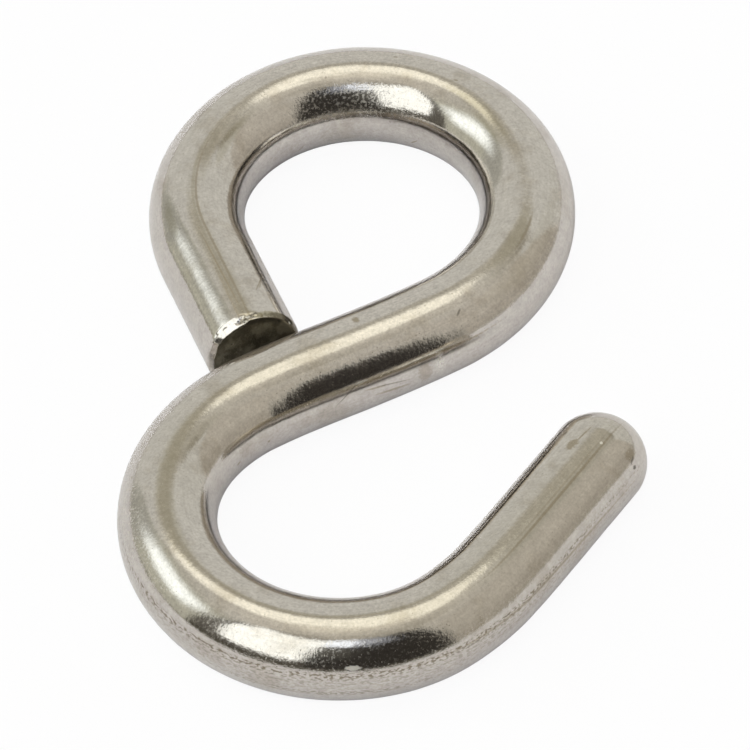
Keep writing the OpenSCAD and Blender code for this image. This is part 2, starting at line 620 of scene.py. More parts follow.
def maths(tree, operation, one, two=0.0, three=0.0, clamp=False):
    node = add(tree, "ShaderNodeMath", {0: one, 1: two, 2: three},
               operation=operation, use_clamp=clamp)
    return node.outputs[0]


def times(tree, one, two):
    return maths(tree, "MULTIPLY", one, two)


def times_plus(tree, one, two, three):
    return maths(tree, "MULTIPLY_ADD", one, two, three)


def ramp(tree, value, low, high, to_low=0.0, to_high=1.0, kind="SMOOTHSTEP"):
    node = add(tree, "ShaderNodeMapRange",
               {"Value": value, "From Min": low, "From Max": high,
                "To Min": to_low, "To Max": to_high}, interpolation_type=kind)
    return node.outputs["Result"]


def vectors(tree, operation, one, two, three=(0.0, 0.0, 0.0), output=0):
    return add(tree, "ShaderNodeVectorMath", {0: one, 1: two, 2: three},
               operation=operation).outputs[output]


def blend(tree, amount, one, two, mode="MIX"):
    """Colour one, taken towards colour two by the amount."""
    node = add(tree, "ShaderNodeMix", data_type="RGBA", blend_type=mode)
    for target, value in zip((0, 6, 7), (amount, one, two)):
        feed(tree, node.inputs[target], value)
    return node.outputs[2]


def fog(tree, vector, scale, detail, rough):
    return add(tree, "ShaderNodeTexNoise", {"Vector": vector, "Scale": scale,
                                            "Detail": detail, "Roughness": rough}).outputs["Fac"]


def group(name, vectors_in, numbers_in, numbers_out):
    """A node group with its named inputs and outputs."""
    tree = bpy.data.node_groups.new(name, "ShaderNodeTree")
    for names, kind, data in ((vectors_in, "INPUT", "NodeSocketVector"),
                              (numbers_in, "INPUT", "NodeSocketFloat"),
                              (numbers_out, "OUTPUT", "NodeSocketFloat")):
        for each in names:
            tree.interface.new_socket(name=each, in_out=kind, socket_type=data)
    given = tree.nodes.new("NodeGroupInput").outputs
    return tree, given, tree.nodes.new("NodeGroupOutput").inputs


def use(tree, made, inputs):
    """The outputs of a group, run on the inputs."""
    return add(tree, "ShaderNodeGroup", inputs, node_tree=made).outputs


def solid(colour):
    return (*colour, 1.0)


def fresh_material(name):
    material = bpy.data.materials.new(name)
    material.use_nodes = True
    tree = material.node_tree
    tree.nodes.clear()
    output = tree.nodes.new("ShaderNodeOutputMaterial")
    return material, tree, output.inputs["Surface"]


def metal(tree, surface, colour, rough, height, depth):
    """Bare metal whose bump is as deep as given."""
    bump = add(tree, "ShaderNodeBump", {"Height": height, "Strength": 1.0, "Distance": depth})
    shader = add(tree, "ShaderNodeBsdfPrincipled",
                 {"Base Color": colour, "Metallic": 1.0, "Roughness": rough,
                  "Normal": bump.outputs[0]})
    tree.links.new(shader.outputs[0], surface)


# ---- shared effects

def draw_lines_group():
    """Fine lines drawn along the rod, from its unrolled skin."""
    tree, given, made = group("draw_lines", ["Unrolled"], ["Length", "Fineness"], ["Lines"])
    scale = add(tree, "ShaderNodeCombineXYZ",
                {"X": given["Length"], "Y": given["Fineness"], "Z": 1.0}).outputs[0]
    drawn = vectors(tree, "MULTIPLY", given["Unrolled"], scale)
    tree.links.new(fog(tree, drawn, 1.0, 3.0, 0.6), made["Lines"])
    return tree


# Tumbled skin: a finer peel over the soft one and its share, and the narrowest and
# widest pits, in cells.
PEEL_FINER = 2.4
PEEL_SHARE = 0.40
PIT_WIDTHS = (0.12, 0.26)


def tumbled_skin_group():
    """Soft orange peel and tiny pits left by tumbling."""
    tree, given, made = group("tumbled_skin", ["Place"], ["Peel size", "Pit size", "Pits"],
                              ["Height", "Pit"])
    place = given["Place"]
    peel = maths(tree, "DIVIDE", 1.0, given["Peel size"])
    finer = fog(tree, place, times(tree, peel, PEEL_FINER), 1.0, 0.5)
    soft = times_plus(tree, finer, PEEL_SHARE, fog(tree, place, peel, 1.0, 0.5))
    rate = maths(tree, "DIVIDE", 1.0, given["Pit size"])
    cells = add(tree, "ShaderNodeTexVoronoi", {"Vector": place, "Scale": rate})
    chance = add(tree, "ShaderNodeSeparateColor", {"Color": cells.outputs["Color"]})
    chosen = maths(tree, "LESS_THAN", chance.outputs[0], given["Pits"])
    width = ramp(tree, chance.outputs[1], 0.0, 1.0, *PIT_WIDTHS, "LINEAR")
    inner = maths(tree, "DIVIDE", cells.outputs["Distance"], width)
    pit = times(tree, maths(tree, "SUBTRACT", 1.0, inner, clamp=True), chosen)
    tree.links.new(maths(tree, "SUBTRACT", soft, pit), made["Height"])
    tree.links.new(pit, made["Pit"])
    return tree


def marks_group():
    """How much three ragged, tapering marks on the unrolled skin cover a place."""
    tree, given, made = group(
        "skin_marks", ["Unrolled", "Along", "Around", "Half length", "Half width", "Slope",
                       "Outer", "Inner", "Strength"], ["Rag"], ["Amount"])
    split = add(tree, "ShaderNodeSeparateXYZ", {"Vector": given["Unrolled"]}).outputs
    run = vectors(tree, "SUBTRACT", split["X"], given["Along"])
    level = vectors(tree, "MULTIPLY_ADD", run, given["Slope"], given["Around"])
    aside = vectors(tree, "SUBTRACT", split["Y"], level)
    one = vectors(tree, "DIVIDE", run, given["Half length"])
    two = vectors(tree, "DIVIDE", aside, given["Half width"])
    squares = vectors(tree, "MULTIPLY_ADD", one, one, vectors(tree, "MULTIPLY", two, two))
    far = vectors(tree, "ADD", squares, given["Rag"])
    cover = add(tree, "ShaderNodeMapRange", data_type="FLOAT_VECTOR",
                interpolation_type="SMOOTHSTEP")
    for name, value in (("Vector", far), ("From_Min_FLOAT3", given["Outer"]),
                        ("From_Max_FLOAT3", given["Inner"])):
        tree.links.new(value, [i for i in cover.inputs if i.identifier == name][0])
    amount = vectors(tree, "MULTIPLY", cover.outputs["Vector"], given["Strength"])
    three = add(tree, "ShaderNodeSeparateXYZ", {"Vector": amount}).outputs
    most = maths(tree, "MAXIMUM", maths(tree, "MAXIMUM", three[0], three[1]), three[2])
    tree.links.new(most, made["Amount"])
    return tree


# ---- materials

STEEL = (0.625, 0.59, 0.547, 1.0)
STAIN = (0.47, 0.425, 0.36, 1.0)
PIT_FLOOR = (0.46, 0.42, 0.37, 1.0)
# Mark colours. The olive is for stains and for painted reflection, the umber is painted shade on
# the lip, and the pale is for pale spots and for painted glints.
MARK_COLOURS = {"olive_and_reflection": (0.41, 0.375, 0.28, 1.0), "brown": (0.34, 0.29, 0.21, 1.0),
                "dashes": (0.235, 0.20, 0.148, 1.0), "painted_lip_shade": (0.15, 0.13, 0.09, 1.0),
                "dark": (0.07, 0.06, 0.045, 1.0), "pale": (0.80, 0.78, 0.72, 1.0)}

# Marks on the skin: kind, distance along the rod and angle round it, half length and
# half width, slope, softness, strength. Lengths in millimetres. Some rows are painted
# reflection, painted shade and painted glints, as noted beside them.
MARKS = (
    # eye leg
    ("olive_and_reflection", 5.0, 93.0, 8.5, 0.55, 0.0, 0.7, 0.34),
    ("brown", 9.0, 88.5, 11.5, 0.08, -0.012, 0.8, 0.6),
    ("brown", 6.0, 96.0, 3.6, 0.06, 0.01, 0.8, 0.7),
    ("brown", 3.0, 101.0, 3.4, 0.07, -0.02, 0.8, 0.45),
    ("olive_and_reflection", 16.0, 91.0, 6.0, 0.1, -0.02, 0.8, 0.45),
    ("brown", 4.2, 56.0, 0.75, 0.07, -0.75, 0.6, 0.75),
    ("brown", 3.9, 57.0, 0.35, 0.05, -0.6, 0.6, 0.6),
    # Painted reflection: this olive row is the dark end of a reflected lamp.
    ("olive_and_reflection", 13.4, 125.0, 1.3, 0.35, 0.0, 0.7, 0.45),
    # crown
    # Painted reflection: the four olive rows below darken both ends of the crown's pale
    # reflected strip.
    ("olive_and_reflection", 22.2, 66.0, 2.3, 0.3, 0.02, 0.8, 0.45),
    ("olive_and_reflection", 20.4, 80.0, 2.4, 0.3, 0.02, 0.8, 0.25),
    ("olive_and_reflection", 52.2, 71.5, 2.2, 0.3, 0.0, 0.8, 0.5),
    ("olive_and_reflection", 50.3, 78.5, 3.2, 0.36, 0.0, 0.8, 0.6),
    ("brown", 44.0, -12.0, 0.4, 0.09, 0.7, 0.6, 0.8),
    ("brown", 30.2, -15.0, 0.35, 0.1, 0.8, 0.6, 0.6),
    ("dark", 34.5, 71.0, 0.1, 0.09, 0.0, 0.5, 0.35),
    ("brown", 40.5, 102.0, 0.16, 0.12, 0.0, 0.5, 0.6),
    ("brown", 46.2, 92.0, 0.16, 0.1, 0.0, 0.5, 0.6),
    # shank
    # Painted reflection: this olive row darkens the end of the pale reflected strip.
    ("olive_and_reflection", 66.0, 98.0, 2.8, 0.42, 0.02, 0.8, 0.45),
    ("brown", 64.9, 105.0, 1.4, 0.09, 0.05, 0.7, 0.65),
    ("olive_and_reflection", 66.5, 126.0, 4.0, 0.6, 0.03, 0.8, 0.25),
    ("brown", 81.6, 77.0, 0.24, 0.34, 0.0, 0.5, 0.85),
    ("dark", 73.9, 123.5, 0.18, 0.1, 0.8, 0.6, 0.6),
    ("brown", 79.5, 157.8, 6.5, 0.12, -0.012, 0.5, 0.85),
    ("brown", 90.0, 153.6, 7.0, 0.1, -0.012, 0.7, 0.7),
    ("pale", 83.6, 154.2, 0.45, 0.06, 0.0, 0.7, 0.7),
    ("dark", 84.9, 162.5, 0.8, 0.045, 0.62, 0.7, 0.6),
    ("pale", 76.6, 174.0, 0.36, 1.0, 0.0, 0.5, 0.4),
    ("brown", 78.0, 176.0, 0.55, 1.05, 0.0, 0.4, 0.45),
    ("dark", 80.9, 173.0, 1.0, 0.055, -0.22, 0.8, 0.45),
    ("brown", 82.4, 169.5, 0.7, 0.07, -0.16, 0.8, 0.7),
    ("brown", 81.0, 183.0, 1.0, 0.1, -0.12, 0.8, 0.65),
    ("brown", 92.6, 181.0, 0.14, 0.1, 0.0, 0.5, 0.8),
    ("brown", 97.5, 178.0, 0.3, 0.08, 0.0, 0.5, 0.7),
    # bowl
    ("olive_and_reflection", 96.0, 116.0, 9.0, 2.8, 0.0, 0.7, 0.13),
    # Painted reflection: this olive row darkens the end of the pale reflected strip.
    ("olive_and_reflection", 105.0, 91.0, 7.5, 0.55, -0.01, 0.8, 0.5),
    ("olive_and_reflection", 122.0, 91.0, 14.0, 0.14, 0.0, 0.8, 0.35),
    ("dashes", 129.0, 20.0, 21.0, 0.2, 0.0, 0.6, 0.95),
    ("dashes", 126.0, 15.5, 17.0, 0.12, 0.0, 0.7, 0.7),
    ("dashes", 128.0, 9.0, 19.0, 0.22, 0.0, 0.8, 0.4),
    ("dashes", 126.5, -7.0, 6.5, 0.22, 0.0, 0.7, 0.6),
    ("dashes", 130.0, 2.0, 20.0, 0.2, 0.0, 0.8, 0.3),
    ("brown", 143.5, 15.5, 8.5, 0.1, -0.028, 0.7, 0.7),
    ("pale", 127.9, 30.0, 0.46, 0.17, 0.0, 0.3, 1.0),
    # hook leg and tip
    # Painted reflection: the two olive rows below paint the darker reflected field over the hook
    # leg's top, in place of the pale strip.
    ("olive_and_reflection", 147.0, 81.0, 10.0, 0.46, 0.0, 0.6, 0.3),
    ("olive_and_reflection", 144.0, 62.0, 15.0, 3.0, 0.0, 0.6, 0.2),
    ("brown", 148.6, 73.0, 6.6, 0.08, 0.0, 0.9, 0.75),
    ("brown", 149.5, 78.0, 5.0, 0.06, 0.0, 0.9, 0.4),
    ("brown", 153.4, 102.6, 0.62, 0.34, -0.15, 0.35, 0.8),
    ("brown", 154.7, 99.3, 0.8, 0.07, -0.1, 0.6, 0.75),
    ("dark", 155.6, 25.5, 0.16, 0.16, 0.0, 0.4, 0.85),
    ("dark", 155.7, 34.0, 0.3, 0.09, 0.5, 0.5, 0.6),
    ("brown", 155.9, 41.0, 0.55, 0.34, 0.0, 0.5, 0.55),
    ("pale", 154.8, 75.5, 0.11, 0.11, 0.0, 0.4, 1.0),
    ("dark", 154.5, 124.0, 0.24, 0.12, 0.0, 0.5, 0.5),
    # the sheared end
    ("dark", 0.1, 140.0, 0.34, 0.26, 0.0, 0.5, 0.8),
    ("dark", 0.4, 88.0, 0.13, 0.2, 0.4, 0.5, 0.6),
    ("dark", 0.36, 104.5, 0.12, 0.14, 0.5, 0.5, 0.6),
    # Painted shade: the two umber rows below darken the lip where it reflects the shank and the
    # shaded paper.
    ("painted_lip_shade", 0.1, 14.0, 0.32, 1.3, 0.0, 0.3, 0.85),
    ("painted_lip_shade", 0.2, 40.0, 0.34, 1.9, 0.0, 0.4, 0.9),
    ("olive_and_reflection", 0.3, 66.0, 0.3, 1.3, 0.0, 0.5, 0.9),
    ("dark", 0.55, 83.0, 0.1, 0.22, 0.5, 0.5, 0.8),
    ("dark", 0.3, 96.0, 0.08, 0.3, 0.3, 0.5, 0.8),
    # Painted highlights: the two pale rows below are glints on the lip.
    ("pale", 0.42, 92.0, 0.08, 0.16, 0.4, 0.4, 0.9),
    ("pale", 0.13, 32.0, 0.11, 0.13, 0.0, 0.3, 1.0),
    # scuffed patches
    ("scuffed", 36.6, 39.0, 6.4, 1.25, 0.0, 0.5, 1.0),
    ("scuffed", 129.0, 38.0, 9.0, 1.2, 0.0, 0.7, 0.5),
    ("scuffed", 107.0, 38.0, 6.0, 1.3, 0.0, 0.7, 0.6),
)


def place_of(angle):
    """Height on the unrolled skin of an angle round the rod, 0 on its right side."""
    return math.radians((angle + 90.0) % 360.0) * ROD_R


def marks_by_kind(tree, made, unrolled, rag):
    """One mask for each kind of mark, from the table, worked out three at a time."""
    masks = {}
    for kind in (*MARK_COLOURS, "scuffed"):
        rows = [row[1:] for row in MARKS if row[0] == kind]
        rows += [rows[-1][:-1] + (0.0,)] * (-len(rows) % 3)
        for first in range(0, len(rows), 3):
            along, angle, length, width, slope, soft, strength = zip(*rows[first:first + 3])
            amount = use(tree, made, {
                "Unrolled": unrolled, "Rag": rag, "Along": [a * MM for a in along],
                "Around": [place_of(a) for a in angle],
                "Half length": [h * MM for h in length],
                "Half width": [h * MM for h in width], "Slope": slope,
                "Outer": [(1.0 + s) ** 2 for s in soft],
                "Inner": [(1.0 - s) ** 2 for s in soft], "Strength": strength})["Amount"]
            if kind in masks:
                amount = maths(tree, "MAXIMUM", masks[kind], amount)
            masks[kind] = amount
    return masks


# Noise over the steel: how many ripples to a metre, how many finer ones, how rough.
FOGS = {"rag": (4200.0, 2.0, 0.6), "patch": (320.0, 3.0, 0.6), "speckle": (4600.0, 2.0, 0.6),
        "mottle": (2400.0, 1.0, 0.5), "clouds": (900.0, 2.0, 0.55)}

# How far the marks' edges are torn, and what breaks the dashes up, along and around.
RAG = 3.2
DASH_RATES = (3300.0, 5600.0, 1.0)
DASH_EDGES = (0.46, 0.60)

# What darkens and lightens the steel: from, to, darkest, lightest.
TONES = {"speckle": (0.25, 0.75, 0.87, 1.10), "mottle": (0.25, 0.75, 0.94, 1.05),
         "lines": (0.25, 0.75, 0.93, 1.05), "clouds": (0.3, 0.7, 0.95, 1.05)}
STAINED = (0.50, 0.72, 0.0, 0.55)
PITTED = (0.0, 0.6, 0.0, 0.8)

# Roughness: of the polish, and what marks, grit and pits add to it.
POLISH = (0.35, 0.70, 0.088, 0.118)
ROUGHER = {"scuffed": 0.05, "dull": 0.18, "pale": 0.45}
GRIT_EDGES = (0.48, 0.66)
GRIT, GRIT_SCUFFED = 0.02, 0.27
PIT_EDGES = (0.0, 0.5)
PIT_ROUGHER = 0.10

# Bump: the drawn lines' share, what is left of it off the scuffed patches, its depth.
LINES_SHARE = 0.5
BUMP_LEFT = 0.45
STEEL_BUMP = 0.0095 * MM


def steel_colour(tree, fogs, pit, masks):
    """Bright steel with stains, pit floors, grain and the marks, some of which are painted
    reflection, painted shade and painted glints.
    """
    colour = blend(tree, ramp(tree, fogs["patch"], *STAINED), STEEL, STAIN)
    colour = blend(tree, ramp(tree, pit, *PITTED), colour, PIT_FLOOR)
    tone = 1.0
    for name, span in TONES.items():
        tone = times(tree, tone, ramp(tree, fogs[name], *span, "LINEAR"))
    colour = blend(tree, 1.0, colour, tone, "MULTIPLY")
    for kind, paint in MARK_COLOURS.items():
        colour = blend(tree, masks[kind], colour, paint)
    return colour


def steel_roughness(tree, fogs, pit, masks):
    """Polished steel, duller under marks, grit and pits."""
    masks["dull"] = maths(tree, "MAXIMUM", masks["brown"], masks["dark"])
    rough = ramp(tree, fogs["patch"], *POLISH)
    for kind, more in ROUGHER.items():
        rough = times_plus(tree, masks[kind], more, rough)
    grit = times_plus(tree, masks["scuffed"], GRIT_SCUFFED, GRIT)
    rough = times_plus(tree, ramp(tree, fogs["speckle"], *GRIT_EDGES), grit, rough)
    return times_plus(tree, ramp(tree, pit, *PIT_EDGES), PIT_ROUGHER, rough)


def steel_material(lines, skin, marks):
    """Drawn stainless rod, tumbled bright, with stains, streaks and pits, and painted
    reflection, painted shade and painted glints among its marks.
    """
    material, tree, surface = fresh_material("bright_tumbled_steel")
    unrolled = add(tree, "ShaderNodeUVMap", uv_map="rod").outputs[0]
    place = add(tree, "ShaderNodeTexCoord").outputs["Object"]
    tumbled = use(tree, skin, {"Place": place, "Peel size": 0.28 * MM,
                               "Pit size": 0.26 * MM, "Pits": 0.5})
    fogs = {name: fog(tree, place, *kind) for name, kind in FOGS.items()}
    fogs["lines"] = use(tree, lines, {"Unrolled": unrolled, "Length": 120.0,
                                      "Fineness": 5200.0})["Lines"]
    rag = times_plus(tree, fogs["rag"], RAG, -RAG / 2)
    masks = marks_by_kind(tree, marks, unrolled, rag)
    broken = add(tree, "ShaderNodeMapping", {"Vector": unrolled, "Scale": DASH_RATES}).outputs[0]
    broken = ramp(tree, fog(tree, broken, 1.0, 1.0, 0.5), *DASH_EDGES)
    masks["dashes"] = times(tree, masks["dashes"], broken)
    colour = steel_colour(tree, fogs, tumbled["Pit"], masks)
    rough = steel_roughness(tree, fogs, tumbled["Pit"], masks)
    height = times_plus(tree, fogs["lines"], LINES_SHARE, tumbled["Height"])
    height = times(tree, height, ramp(tree, masks["scuffed"], 0.0, 1.0, BUMP_LEFT, 1.0))
    metal(tree, surface, colour, rough, height, STEEL_BUMP)
    return material


# The sheared face: its darker and paler patches, its pits, and its rim, which darkens
# from one distance from its middle to another. Its dark colours are partly the torn steel
# and partly painted shade of the narrow gap beside the shank. In reflections, as in the
# shank's polish, the face is painted pale: painted light.
SHEARED_DARK_AND_SHADE = (0.17, 0.152, 0.11, 1.0)
SHEARED_PALE = (0.40, 0.375, 0.29, 1.0)
SHEARED_PIT = (0.11, 0.10, 0.075, 1.0)
SHEARED_RIM = (0.05, 0.045, 0.033, 1.0)
SHEARED_CLOUD = (620.0, 3.0, 0.6)
SHEARED_EDGES = (0.38, 0.66)
SHEARED_BUMP = 0.04 * MM
SHEARED_ROUGH = 0.5
RIM_STARTS = 2.9 * MM
RIM_DARKEST = 3.8 * MM
RIM_SHARE = 0.75
FACE_PAINTED_PALE_IN_REFLECTIONS = (0.72, 0.68, 0.62, 1.0)

# Where the face is burnished pale beside its rim, how far round there, and its colour.
BURNISHED = CUT_CENTRE + heading(LEG_ANGLE - 90.0) * 3.2 * MM + Vector((0.0, 0.0, 1.9 * MM))
BURNISHED_REACH = 1.25 * MM
BURNISHED_COLOUR = (0.36, 0.33, 0.25, 1.0)
BURNISHED_SHARE = 0.85


def sheared_material(skin):
    """The torn face that the shears left, partly darkened with painted shade, and painted pale
    in reflections.
    """
    material, tree, surface = fresh_material("sheared_steel")
    place = add(tree, "ShaderNodeTexCoord").outputs["Object"]
    torn = use(tree, skin, {"Place": place, "Peel size": 0.22 * MM, "Pit size": 0.6 * MM,
                            "Pits": 0.5})
    cloud = ramp(tree, fog(tree, place, *SHEARED_CLOUD), *SHEARED_EDGES)
    colour = blend(tree, cloud, SHEARED_DARK_AND_SHADE, SHEARED_PALE)
    colour = blend(tree, torn["Pit"], colour, SHEARED_PIT)
    far = vectors(tree, "DISTANCE", place, CUT_CENTRE, output="Value")
    rim = ramp(tree, far, RIM_STARTS, RIM_DARKEST, 0.0, RIM_SHARE)
    colour = blend(tree, rim, colour, SHEARED_RIM)
    near = vectors(tree, "DISTANCE", place, BURNISHED, output="Value")
    bright = ramp(tree, near, BURNISHED_REACH, BURNISHED_REACH / 2, 0.0, BURNISHED_SHARE)
    colour = blend(tree, bright, colour, BURNISHED_COLOUR)
    # Painted light: seen in reflections, the face is painted pale.
    mirrored = add(tree, "ShaderNodeLightPath").outputs["Is Glossy Ray"]
    colour = blend(tree, mirrored, colour, FACE_PAINTED_PALE_IN_REFLECTIONS)
    metal(tree, surface, colour, SHEARED_ROUGH, torn["Height"], SHEARED_BUMP)
    return material


def paint_the_rod(rod, on_face):
    """Steel all over, and sheared steel on every polygon that touches the face."""
    skin = tumbled_skin_group()
    rod.data.materials.append(steel_material(draw_lines_group(), skin, marks_group()))
    rod.data.materials.append(sheared_material(skin))
    torn = on_face[corner_vertices(rod.data)]
    for polygon in rod.data.polygons:
        start = polygon.loop_start
        polygon.material_index = int(torn[start:start + polygon.loop_total].any())


# ---- the studio

def panel_group():
    """How much of a flat, soft-edged panel stands in a given direction."""
    tree, given, made = group("studio_panel", ["Direction", "Aim", "Side", "Up"],
                              ["Half width", "Half height", "Softness"], ["Amount"])

    def dot(name):
        return vectors(tree, "DOT_PRODUCT", given["Direction"], given[name], output="Value")

    depth = dot("Aim")
    amount = maths(tree, "GREATER_THAN", depth, 0.05)
    for name, half in (("Side", "Half width"), ("Up", "Half height")):
        off = maths(tree, "ABSOLUTE", maths(tree, "DIVIDE", dot(name), depth))
        inner = maths(tree, "SUBTRACT", given[half], given["Softness"])
        outer = maths(tree, "ADD", given[half], given["Softness"])
        amount = times(tree, amount, ramp(tree, off, outer, inner))
    tree.links.new(amount, made["Amount"])
    return tree


def band_group():
    """How much of a soft-edged patch, set by azimuth and elevation, is in a direction."""
    tree, given, made = group(
        "studio_band", [], ["Azimuth", "Elevation", "Middle", "Half width", "Side softness",
                            "Low", "High", "Low softness", "High softness", "Slope", "Flare",
                            "Drift"], ["Amount"])
    climb = maths(tree, "SUBTRACT", given["Elevation"], given["Low"])
    middle = times_plus(tree, climb, given["Drift"], given["Middle"])
    half = times_plus(tree, climb, given["Flare"], given["Half width"])
    off = maths(tree, "SUBTRACT", given["Azimuth"], middle)
    off = maths(tree, "WRAP", off, 180.0, -180.0)
    drop = times(tree, given["Slope"], -1.0)
    level = times_plus(tree, off, drop, given["Elevation"])

    def past(value, at, softness):
        low = maths(tree, "SUBTRACT", at, softness)
        return ramp(tree, value, low, maths(tree, "ADD", at, softness))

    aside = past(maths(tree, "ABSOLUTE", off), half, given["Side softness"])
    within = maths(tree, "SUBTRACT", 1.0, aside)
    above = past(level, given["Low"], given["Low softness"])
    over = past(level, given["High"], given["High softness"])
    tall = times(tree, above, maths(tree, "SUBTRACT", 1.0, over))
    tree.links.new(times(tree, within, tall), made["Amount"])
    return tree


def toward(azimuth, elevation):
    """Unit vector, azimuth clockwise from +Y as seen from above."""
    a, e = math.radians(azimuth), math.radians(elevation)
    return Vector((math.sin(a) * math.cos(e), math.cos(a) * math.cos(e), math.sin(e)))


# The room, painted back to front. Azimuths run clockwise from +Y, in degrees.
# A band is: from azimuth, to azimuth, side softness, low, high, low softness,
# high softness, slope, colour; a flaring band has its flare and its drift for each
# degree of height before the colour. A box is a flat panel: azimuth and elevation of
# its middle, half width, half height, softness, colour.
WHITE = (1.0, 1.0, 1.0, 1.0)
WALL = (0.76, 0.755, 0.705)
ROOF = (0.78, 0.745, 0.65)
ROOF_EDGES = (52.0, 72.0)
PAPER = (0.88, 0.87, 0.85)
ROOM = (
    ("box", 345.0, 82.0, 0.15, 0.15, 0.07, (1.0, 0.95, 0.81)),
    ("band", 85.0, 235.0, 22.0, 66.0, 80.0, 3.0, 4.0, 0.0, (0.61, 0.58, 0.5)),
    ("band", 62.0, 128.0, 2.0, 0.0, 62.0, 1.0, 10.0, 0.0, (0.67, 0.635, 0.56)),
    ("band", 62.0, 128.0, 2.0, 2.0, 24.0, 1.0, 12.0, 0.0, (0.54, 0.505, 0.44)),
    ("band", 245.0, 318.0, 12.0, 46.0, 62.0, 4.0, 6.0, 0.0, (0.66, 0.64, 0.56)),
    ("band", 325.0, 425.0, 14.0, 48.0, 60.0, 2.5, 4.0, 0.05, (0.58, 0.555, 0.47)),
    ("band", 34.0, 54.0, 7.0, 48.5, 54.0, 1.5, 2.5, 0.0, (0.42, 0.395, 0.32)),
    ("band", 318.0, 382.0, 9.0, 56.8, 78.5, 2.3, 5.0, 0.17, (1.46, 1.42, 1.23)),
    ("band", 368.0, 416.0, 16.0, 65.0, 76.0, 2.6, 4.5, 0.28, (1.48, 1.44, 1.25)),
    ("band", 130.0, 251.0, 0.8, 3.0, 70.0, 0.8, 7.0, 0.0, (0.045, 0.041, 0.036)),
    ("band", 128.4, 130.0, 0.7, 3.0, 44.0, 1.0, 8.0, 0.0, (0.32, 0.305, 0.265)),
    ("band", 178.0, 198.0, 5.0, 34.0, 60.0, 10.0, 4.0, 0.0, (0.13, 0.125, 0.11)),
    ("band", 198.0, 251.0, 2.0, 3.0, 52.0, 0.8, 8.0, 0.0, (0.155, 0.145, 0.125)),
    ("band", 198.0, 251.0, 2.0, 2.0, 8.0, 0.8, 3.0, 0.0, (0.07, 0.065, 0.05)),
    ("band", 152.0, 178.0, 6.0, 57.0, 70.0, 5.0, 4.0, 0.0, (0.5, 0.53, 0.6)),
    ("band", 251.0, 311.0, 1.5, 2.0, 53.0, 0.8, 5.0, 0.0, (0.64, 0.64, 0.54)),
    ("band", 290.0, 311.0, 3.0, 3.0, 44.0, 1.5, 8.0, 0.0, (0.5, 0.5, 0.445)),
    ("band", 130.0, 252.0, 2.0, -1.0, 3.4, 0.5, 0.8, 0.0, (0.15, 0.14, 0.1)),
    ("band", 252.0, 292.0, 2.0, -1.0, 3.0, 0.5, 0.8, 0.0, (0.42, 0.41, 0.34)),
    ("band", 292.0, 490.0, 2.0, -1.0, 2.5, 0.5, 0.8, 0.0, (0.6, 0.58, 0.54)),
)


# The lamps, in the same way. Steel shows them at their own colour, and they throw
# LAMP_POWERS times as much on the paper, as lamps brighter than white do.
LAMPS = (
    ("band", 174.0, 194.0, 4.0, 57.0, 71.0, 3.5, 3.0, 0.0, (1.7, 1.83, 2.03)),
    ("box", 277.0, 35.5, 0.29, 0.2, 0.14, (1.7, 1.8, 1.78)),
    ("band", 200.0, 236.0, 0.8, 17.5, 68.5, 1.0, 2.5, 0.0, 0.2, 0.08, (1.78, 1.83, 1.78)),
)
LAMP_POWERS = (18.0, 4.0, 2.6)


def box_amount(tree, made, given, azimuth, elevation, width, height, softness):
    return use(tree, made, {
        "Direction": given["Direction"], "Aim": toward(azimuth, elevation),
        "Side": toward(azimuth + 90.0, 0.0), "Up": toward(azimuth, elevation + 90.0),
        "Half width": width, "Half height": height, "Softness": softness})["Amount"]


def band_amount(tree, made, given, start, stop, side, low, high, low_soft, high_soft, slope,
                flare=0.0, drift=0.0):
    return use(tree, made, {
        "Azimuth": given["Azimuth"], "Elevation": given["Elevation"],
        "Middle": (start + stop) / 2, "Half width": (stop - start) / 2,
        "Side softness": side, "Low": low, "High": high, "Low softness": low_soft,
        "High softness": high_soft, "Slope": slope, "Flare": flare, "Drift": drift})["Amount"]


def add_patch(tree, groups, given, row, colour, shown):
    """The colour with one row of the room painted over it."""
    amount_of = box_amount if row[0] == "box" else band_amount
    amount = amount_of(tree, groups[row[0]], given, *row[1:-1])
    return blend(tree, amount, colour, shown)


def build_room():
    """A pale tent with a dark opening in front, soft boxes and a lit roof."""
    world = bpy.data.worlds.new("studio")
    bpy.context.scene.world = world
    world.use_nodes = True
    tree = world.node_tree
    tree.nodes.clear()
    groups = {"box": panel_group(), "band": band_group()}
    direction = add(tree, "ShaderNodeTexCoord").outputs["Generated"]
    split = add(tree, "ShaderNodeSeparateXYZ", {"Vector": direction}).outputs
    azimuth = maths(tree, "DEGREES", maths(tree, "ARCTAN2", split["X"], split["Y"]))
    elevation = maths(tree, "DEGREES", maths(tree, "ARCSINE", split["Z"]))
    given = {"Direction": direction, "Azimuth": azimuth, "Elevation": elevation}
    colour = blend(tree, ramp(tree, elevation, *ROOF_EDGES), solid(WALL), solid(ROOF))
    for row in ROOM:
        colour = add_patch(tree, groups, given, row, colour, solid(row[-1]))
    paths = add(tree, "ShaderNodeLightPath").outputs
    for row, power in zip(LAMPS, LAMP_POWERS):
        thrown = [part * power for part in row[-1]]
        lamp = blend(tree, paths["Is Diffuse Ray"], solid(row[-1]), solid(thrown))
        colour = add_patch(tree, groups, given, row, colour, lamp)
    colour = blend(tree, ramp(tree, elevation, 0.0, -1.0), colour, solid(PAPER))

    light = add(tree, "ShaderNodeBackground", {"Color": colour, "Strength": 1.0})
    white = add(tree, "ShaderNodeBackground", {"Color": WHITE})
    shown = add(tree, "ShaderNodeMixShader",
                {0: paths["Is Camera Ray"], 1: light.outputs[0], 2: white.outputs[0]})
    output = tree.nodes.new("ShaderNodeOutputWorld")
    tree.links.new(shown.outputs[0], output.inputs["Surface"])


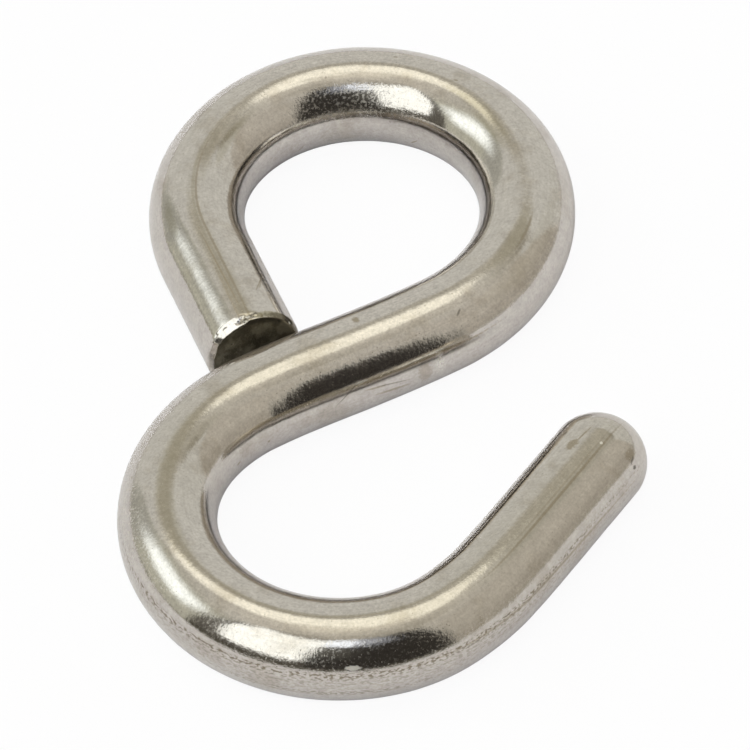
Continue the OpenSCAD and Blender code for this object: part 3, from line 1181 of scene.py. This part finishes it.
# The paper: its colour under the lamps, and how much of its own white the camera and
# the steel see of it.
PAPER_COLOUR = (0.65, 0.63, 0.64, 1.0)
PAPER_SEEN = 0.95
PAPER_MIRRORED = 0.05

# The shade close under the rod: how far the paper looks for it, and from how open to
# how open it runs, and from how dark to how bright.
SHADE_REACH = 9.0 * MM
SHADE = (0.10, 0.45, 0.48, 1.0)
SHADE_SAMPLES = 6
PAPER_R = 3.0
PAPER_BELOW = 0.01 * MM


def build_floor():
    """White paper: mostly its own white to the camera, shaded round the hook."""
    select_nothing()
    bpy.ops.mesh.primitive_circle_add(vertices=96, radius=PAPER_R, fill_type="NGON",
                                      location=(0.0, 0.0, cad_box[0].z - PAPER_BELOW))
    floor = bpy.context.object
    floor.name = "paper_floor"
    bpy.ops.object.transform_apply(location=True, rotation=True, scale=True)
    material, tree, surface = fresh_material("white_paper")
    path = add(tree, "ShaderNodeLightPath").outputs
    near = add(tree, "ShaderNodeAmbientOcclusion", {"Distance": SHADE_REACH},
               samples=SHADE_SAMPLES)
    shade = ramp(tree, near.outputs["AO"], *SHADE, "LINEAR")
    colour = blend(tree, 1.0, PAPER_COLOUR, shade, "MULTIPLY")
    paper = add(tree, "ShaderNodeBsdfDiffuse", {"Color": colour})
    lit = maths(tree, "MAXIMUM", shade, path["Is Camera Ray"])
    glow = add(tree, "ShaderNodeEmission", {"Color": WHITE, "Strength": lit})
    seen = times(tree, path["Is Camera Ray"], PAPER_SEEN)
    mirrored = times(tree, path["Is Glossy Ray"], PAPER_MIRRORED)
    share = maths(tree, "ADD", seen, mirrored, clamp=True)
    mixed = add(tree, "ShaderNodeMixShader",
                {0: share, 1: paper.outputs[0], 2: glow.outputs[0]})
    tree.links.new(mixed.outputs[0], surface)
    floor.data.materials.append(material)


def build_camera():
    """Looks down at the hook from in front, rolled a little."""
    back = Vector((math.sin(math.radians(CAMERA_AZIMUTH)),
                   -math.cos(math.radians(CAMERA_AZIMUTH)), 0.0))
    lift = math.radians(CAMERA_ELEVATION)
    away = back * math.cos(lift) + Vector((0.0, 0.0, math.sin(lift)))
    level = heading(CAMERA_AZIMUTH)
    upright = away.cross(level)
    roll = math.radians(CAMERA_ROLL)
    right = level * math.cos(roll) - upright * math.sin(roll)
    up = level * math.sin(roll) + upright * math.cos(roll)
    place = LOOK_AT + away * CAMERA_DISTANCE
    camera = bpy.data.objects.new("camera", bpy.data.cameras.new("camera"))
    bpy.context.scene.collection.objects.link(camera)
    turn = Matrix((right, up, away)).transposed().to_4x4()
    camera.matrix_world = Matrix.Translation(place) @ turn
    camera.data.lens = CAMERA_LENS
    camera.data.sensor_width = SENSOR
    camera.data.clip_start, camera.data.clip_end = CAMERA_CLIP
    bpy.context.scene.camera = camera


# ---- the part

def build_part():
    rod = bend_rod()
    along, around, on_face = wear_the_rod(rod)
    unroll(rod, along, around)
    paint_the_rod(rod, on_face)
    select_nothing()
    rod.select_set(True)
    bpy.context.view_layer.objects.active = rod
    bpy.ops.object.shade_smooth()
    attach(rod, "root")
    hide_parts("s_hook")


bpy.context.scene.view_settings.view_transform = "Standard"
build_camera()
build_room()
build_floor()
build_part()
